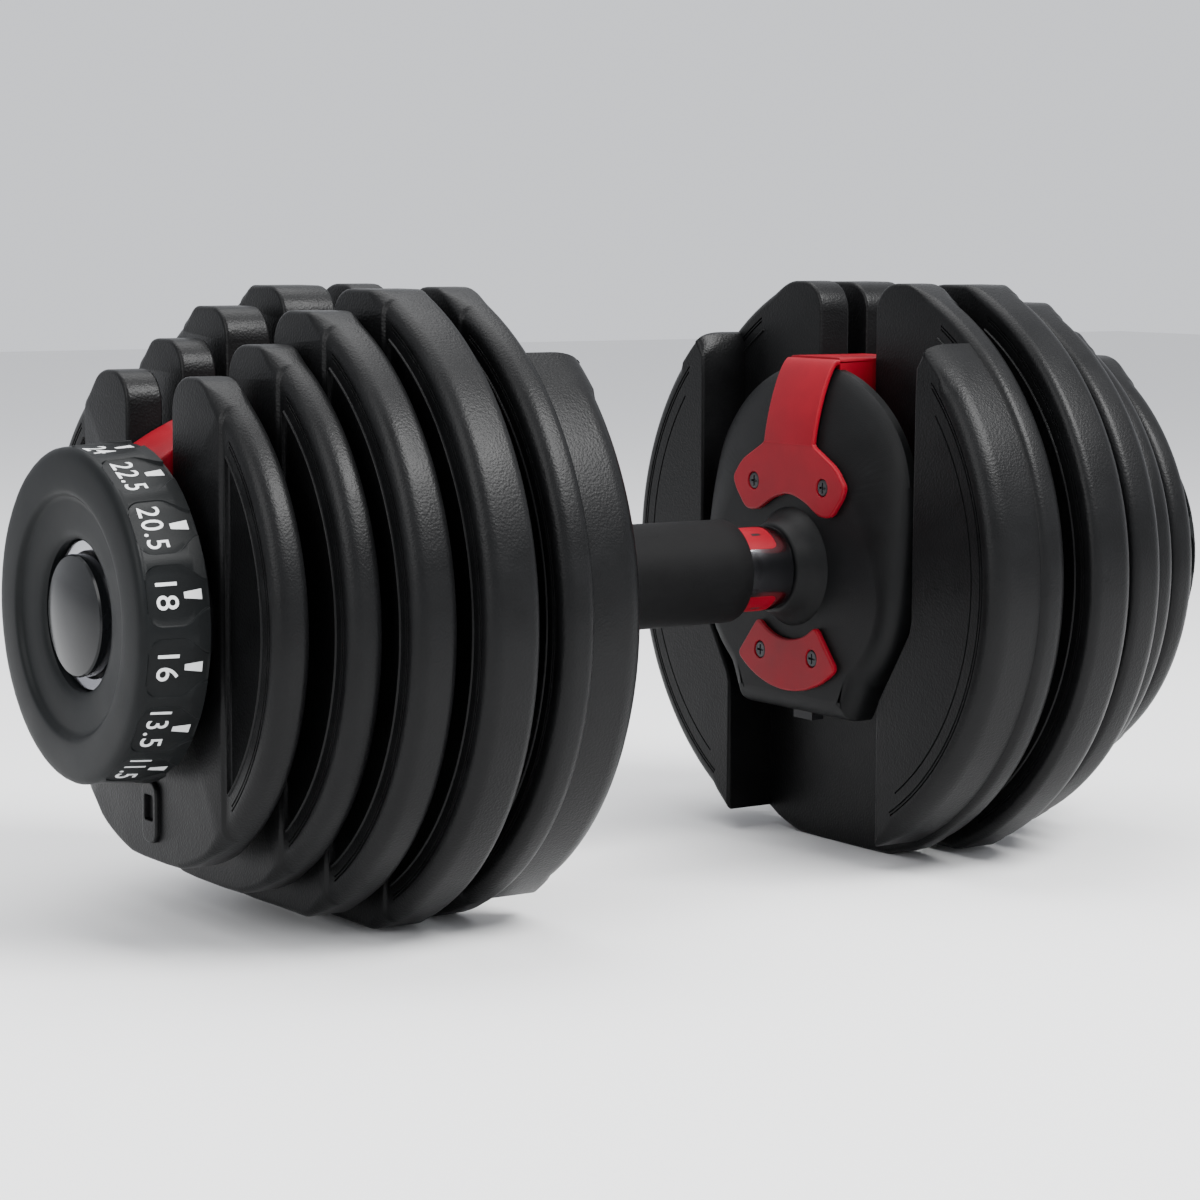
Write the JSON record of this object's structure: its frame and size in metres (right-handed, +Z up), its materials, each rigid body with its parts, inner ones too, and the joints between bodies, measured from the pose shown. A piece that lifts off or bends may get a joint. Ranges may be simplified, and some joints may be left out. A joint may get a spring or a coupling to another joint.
{
  "type": "adjustable dumbbell",
  "caption": "Adjustable dumbbell with a selector dial on each end, stepped round weight plates, red bridges along their slots and a rubber grip on a metal tube.",
  "frame": {"origin": "Centre of the footprint, level with the lowest flats of the largest weight plates.", "axes": "+X runs along the grip to the right end, +Y to the back, +Z up."},
  "size_m": [0.4012, 0.2012, 0.1896],
  "materials": {
    "grip_rubber": "matt",
    "steel": "turned",
    "plate_coat": "textured, leather grain",
    "black_plastic": "fine matt texture",
    "red_plastic": "satin",
    "collar_metal": "polished",
    "nylon": "satin",
    "dial_plastic": "satin",
    "chrome": "polished",
    "gloss_black": "gloss",
    "black_steel": "black oxide"
  },
  "bodies": {
    "handle_and_plates": {"grip": "grip_rubber", "handle_tube": "steel", "main_shaft": "steel", "left_end_plate": "black_plastic", "left_bridge": "red_plastic", "left_lower_bracket": "red_plastic", "left_grip_collar": "collar_metal", "left_collar_insert": "red_plastic", "left_shaft_nut": "steel", "left_lock_spring": "steel", "left_weight_plate_1": "plate_coat", "left_weight_plate_2": "plate_coat", "left_weight_plate_3": "plate_coat", "left_weight_plate_4": "plate_coat", "left_weight_plate_5": "plate_coat", "left_bracket_screw_1": "black_steel", "left_bracket_screw_2": "black_steel", "left_bracket_screw_3": "black_steel", "left_bracket_screw_4": "black_steel", "right_end_plate": "black_plastic", "right_bridge": "red_plastic", "right_lower_bracket": "red_plastic", "right_grip_collar": "collar_metal", "right_collar_insert": "red_plastic", "right_shaft_nut": "steel", "right_lock_spring": "steel", "right_weight_plate_1": "plate_coat", "right_weight_plate_2": "plate_coat", "right_weight_plate_3": "plate_coat", "right_weight_plate_4": "plate_coat", "right_weight_plate_5": "plate_coat", "right_bracket_screw_1": "black_steel", "right_bracket_screw_2": "black_steel", "right_bracket_screw_3": "black_steel", "right_bracket_screw_4": "black_steel"},
    "left_dial": {"left_dial": "dial_plastic", "left_dial_ring": "chrome", "left_dial_cap": "gloss_black", "left_drive_tube": "steel", "left_index_wheel": "nylon", "left_selector_disc_1": "nylon", "left_selector_disc_2": "nylon", "left_selector_disc_3": "nylon", "left_selector_disc_4": "nylon", "left_selector_disc_5": "nylon"},
    "left_lock": {"left_lock_pin": "nylon"},
    "right_dial": {"right_dial": "dial_plastic", "right_dial_ring": "chrome", "right_dial_cap": "gloss_black", "right_drive_tube": "steel", "right_index_wheel": "nylon", "right_selector_disc_1": "nylon", "right_selector_disc_2": "nylon", "right_selector_disc_3": "nylon", "right_selector_disc_4": "nylon", "right_selector_disc_5": "nylon"},
    "right_lock": {"right_lock_pin": "nylon"}
  },
  "joints": [
    {"name": "left_dial_turn", "type": "hinge", "parent": "handle_and_plates", "child": "left_dial", "pos_m": [-0.19, 0, 0.0958], "axis": [1, 0, 0], "continuous": true},
    {"name": "left_lock_press", "type": "slide", "parent": "handle_and_plates", "child": "left_lock", "axis": [0, 0, 1], "range_m": [0, 0.004], "stiffness_N_per_m": 400, "springref_m": -0.003, "deforming": ["left_lock_spring"]},
    {"name": "right_dial_turn", "type": "hinge", "parent": "handle_and_plates", "child": "right_dial", "pos_m": [0.19, 0, 0.0958], "axis": [1, 0, 0], "continuous": true},
    {"name": "right_lock_press", "type": "slide", "parent": "handle_and_plates", "child": "right_lock", "axis": [0, 0, 1], "range_m": [0, 0.004], "stiffness_N_per_m": 400, "springref_m": -0.003, "deforming": ["right_lock_spring"]}
  ]
}
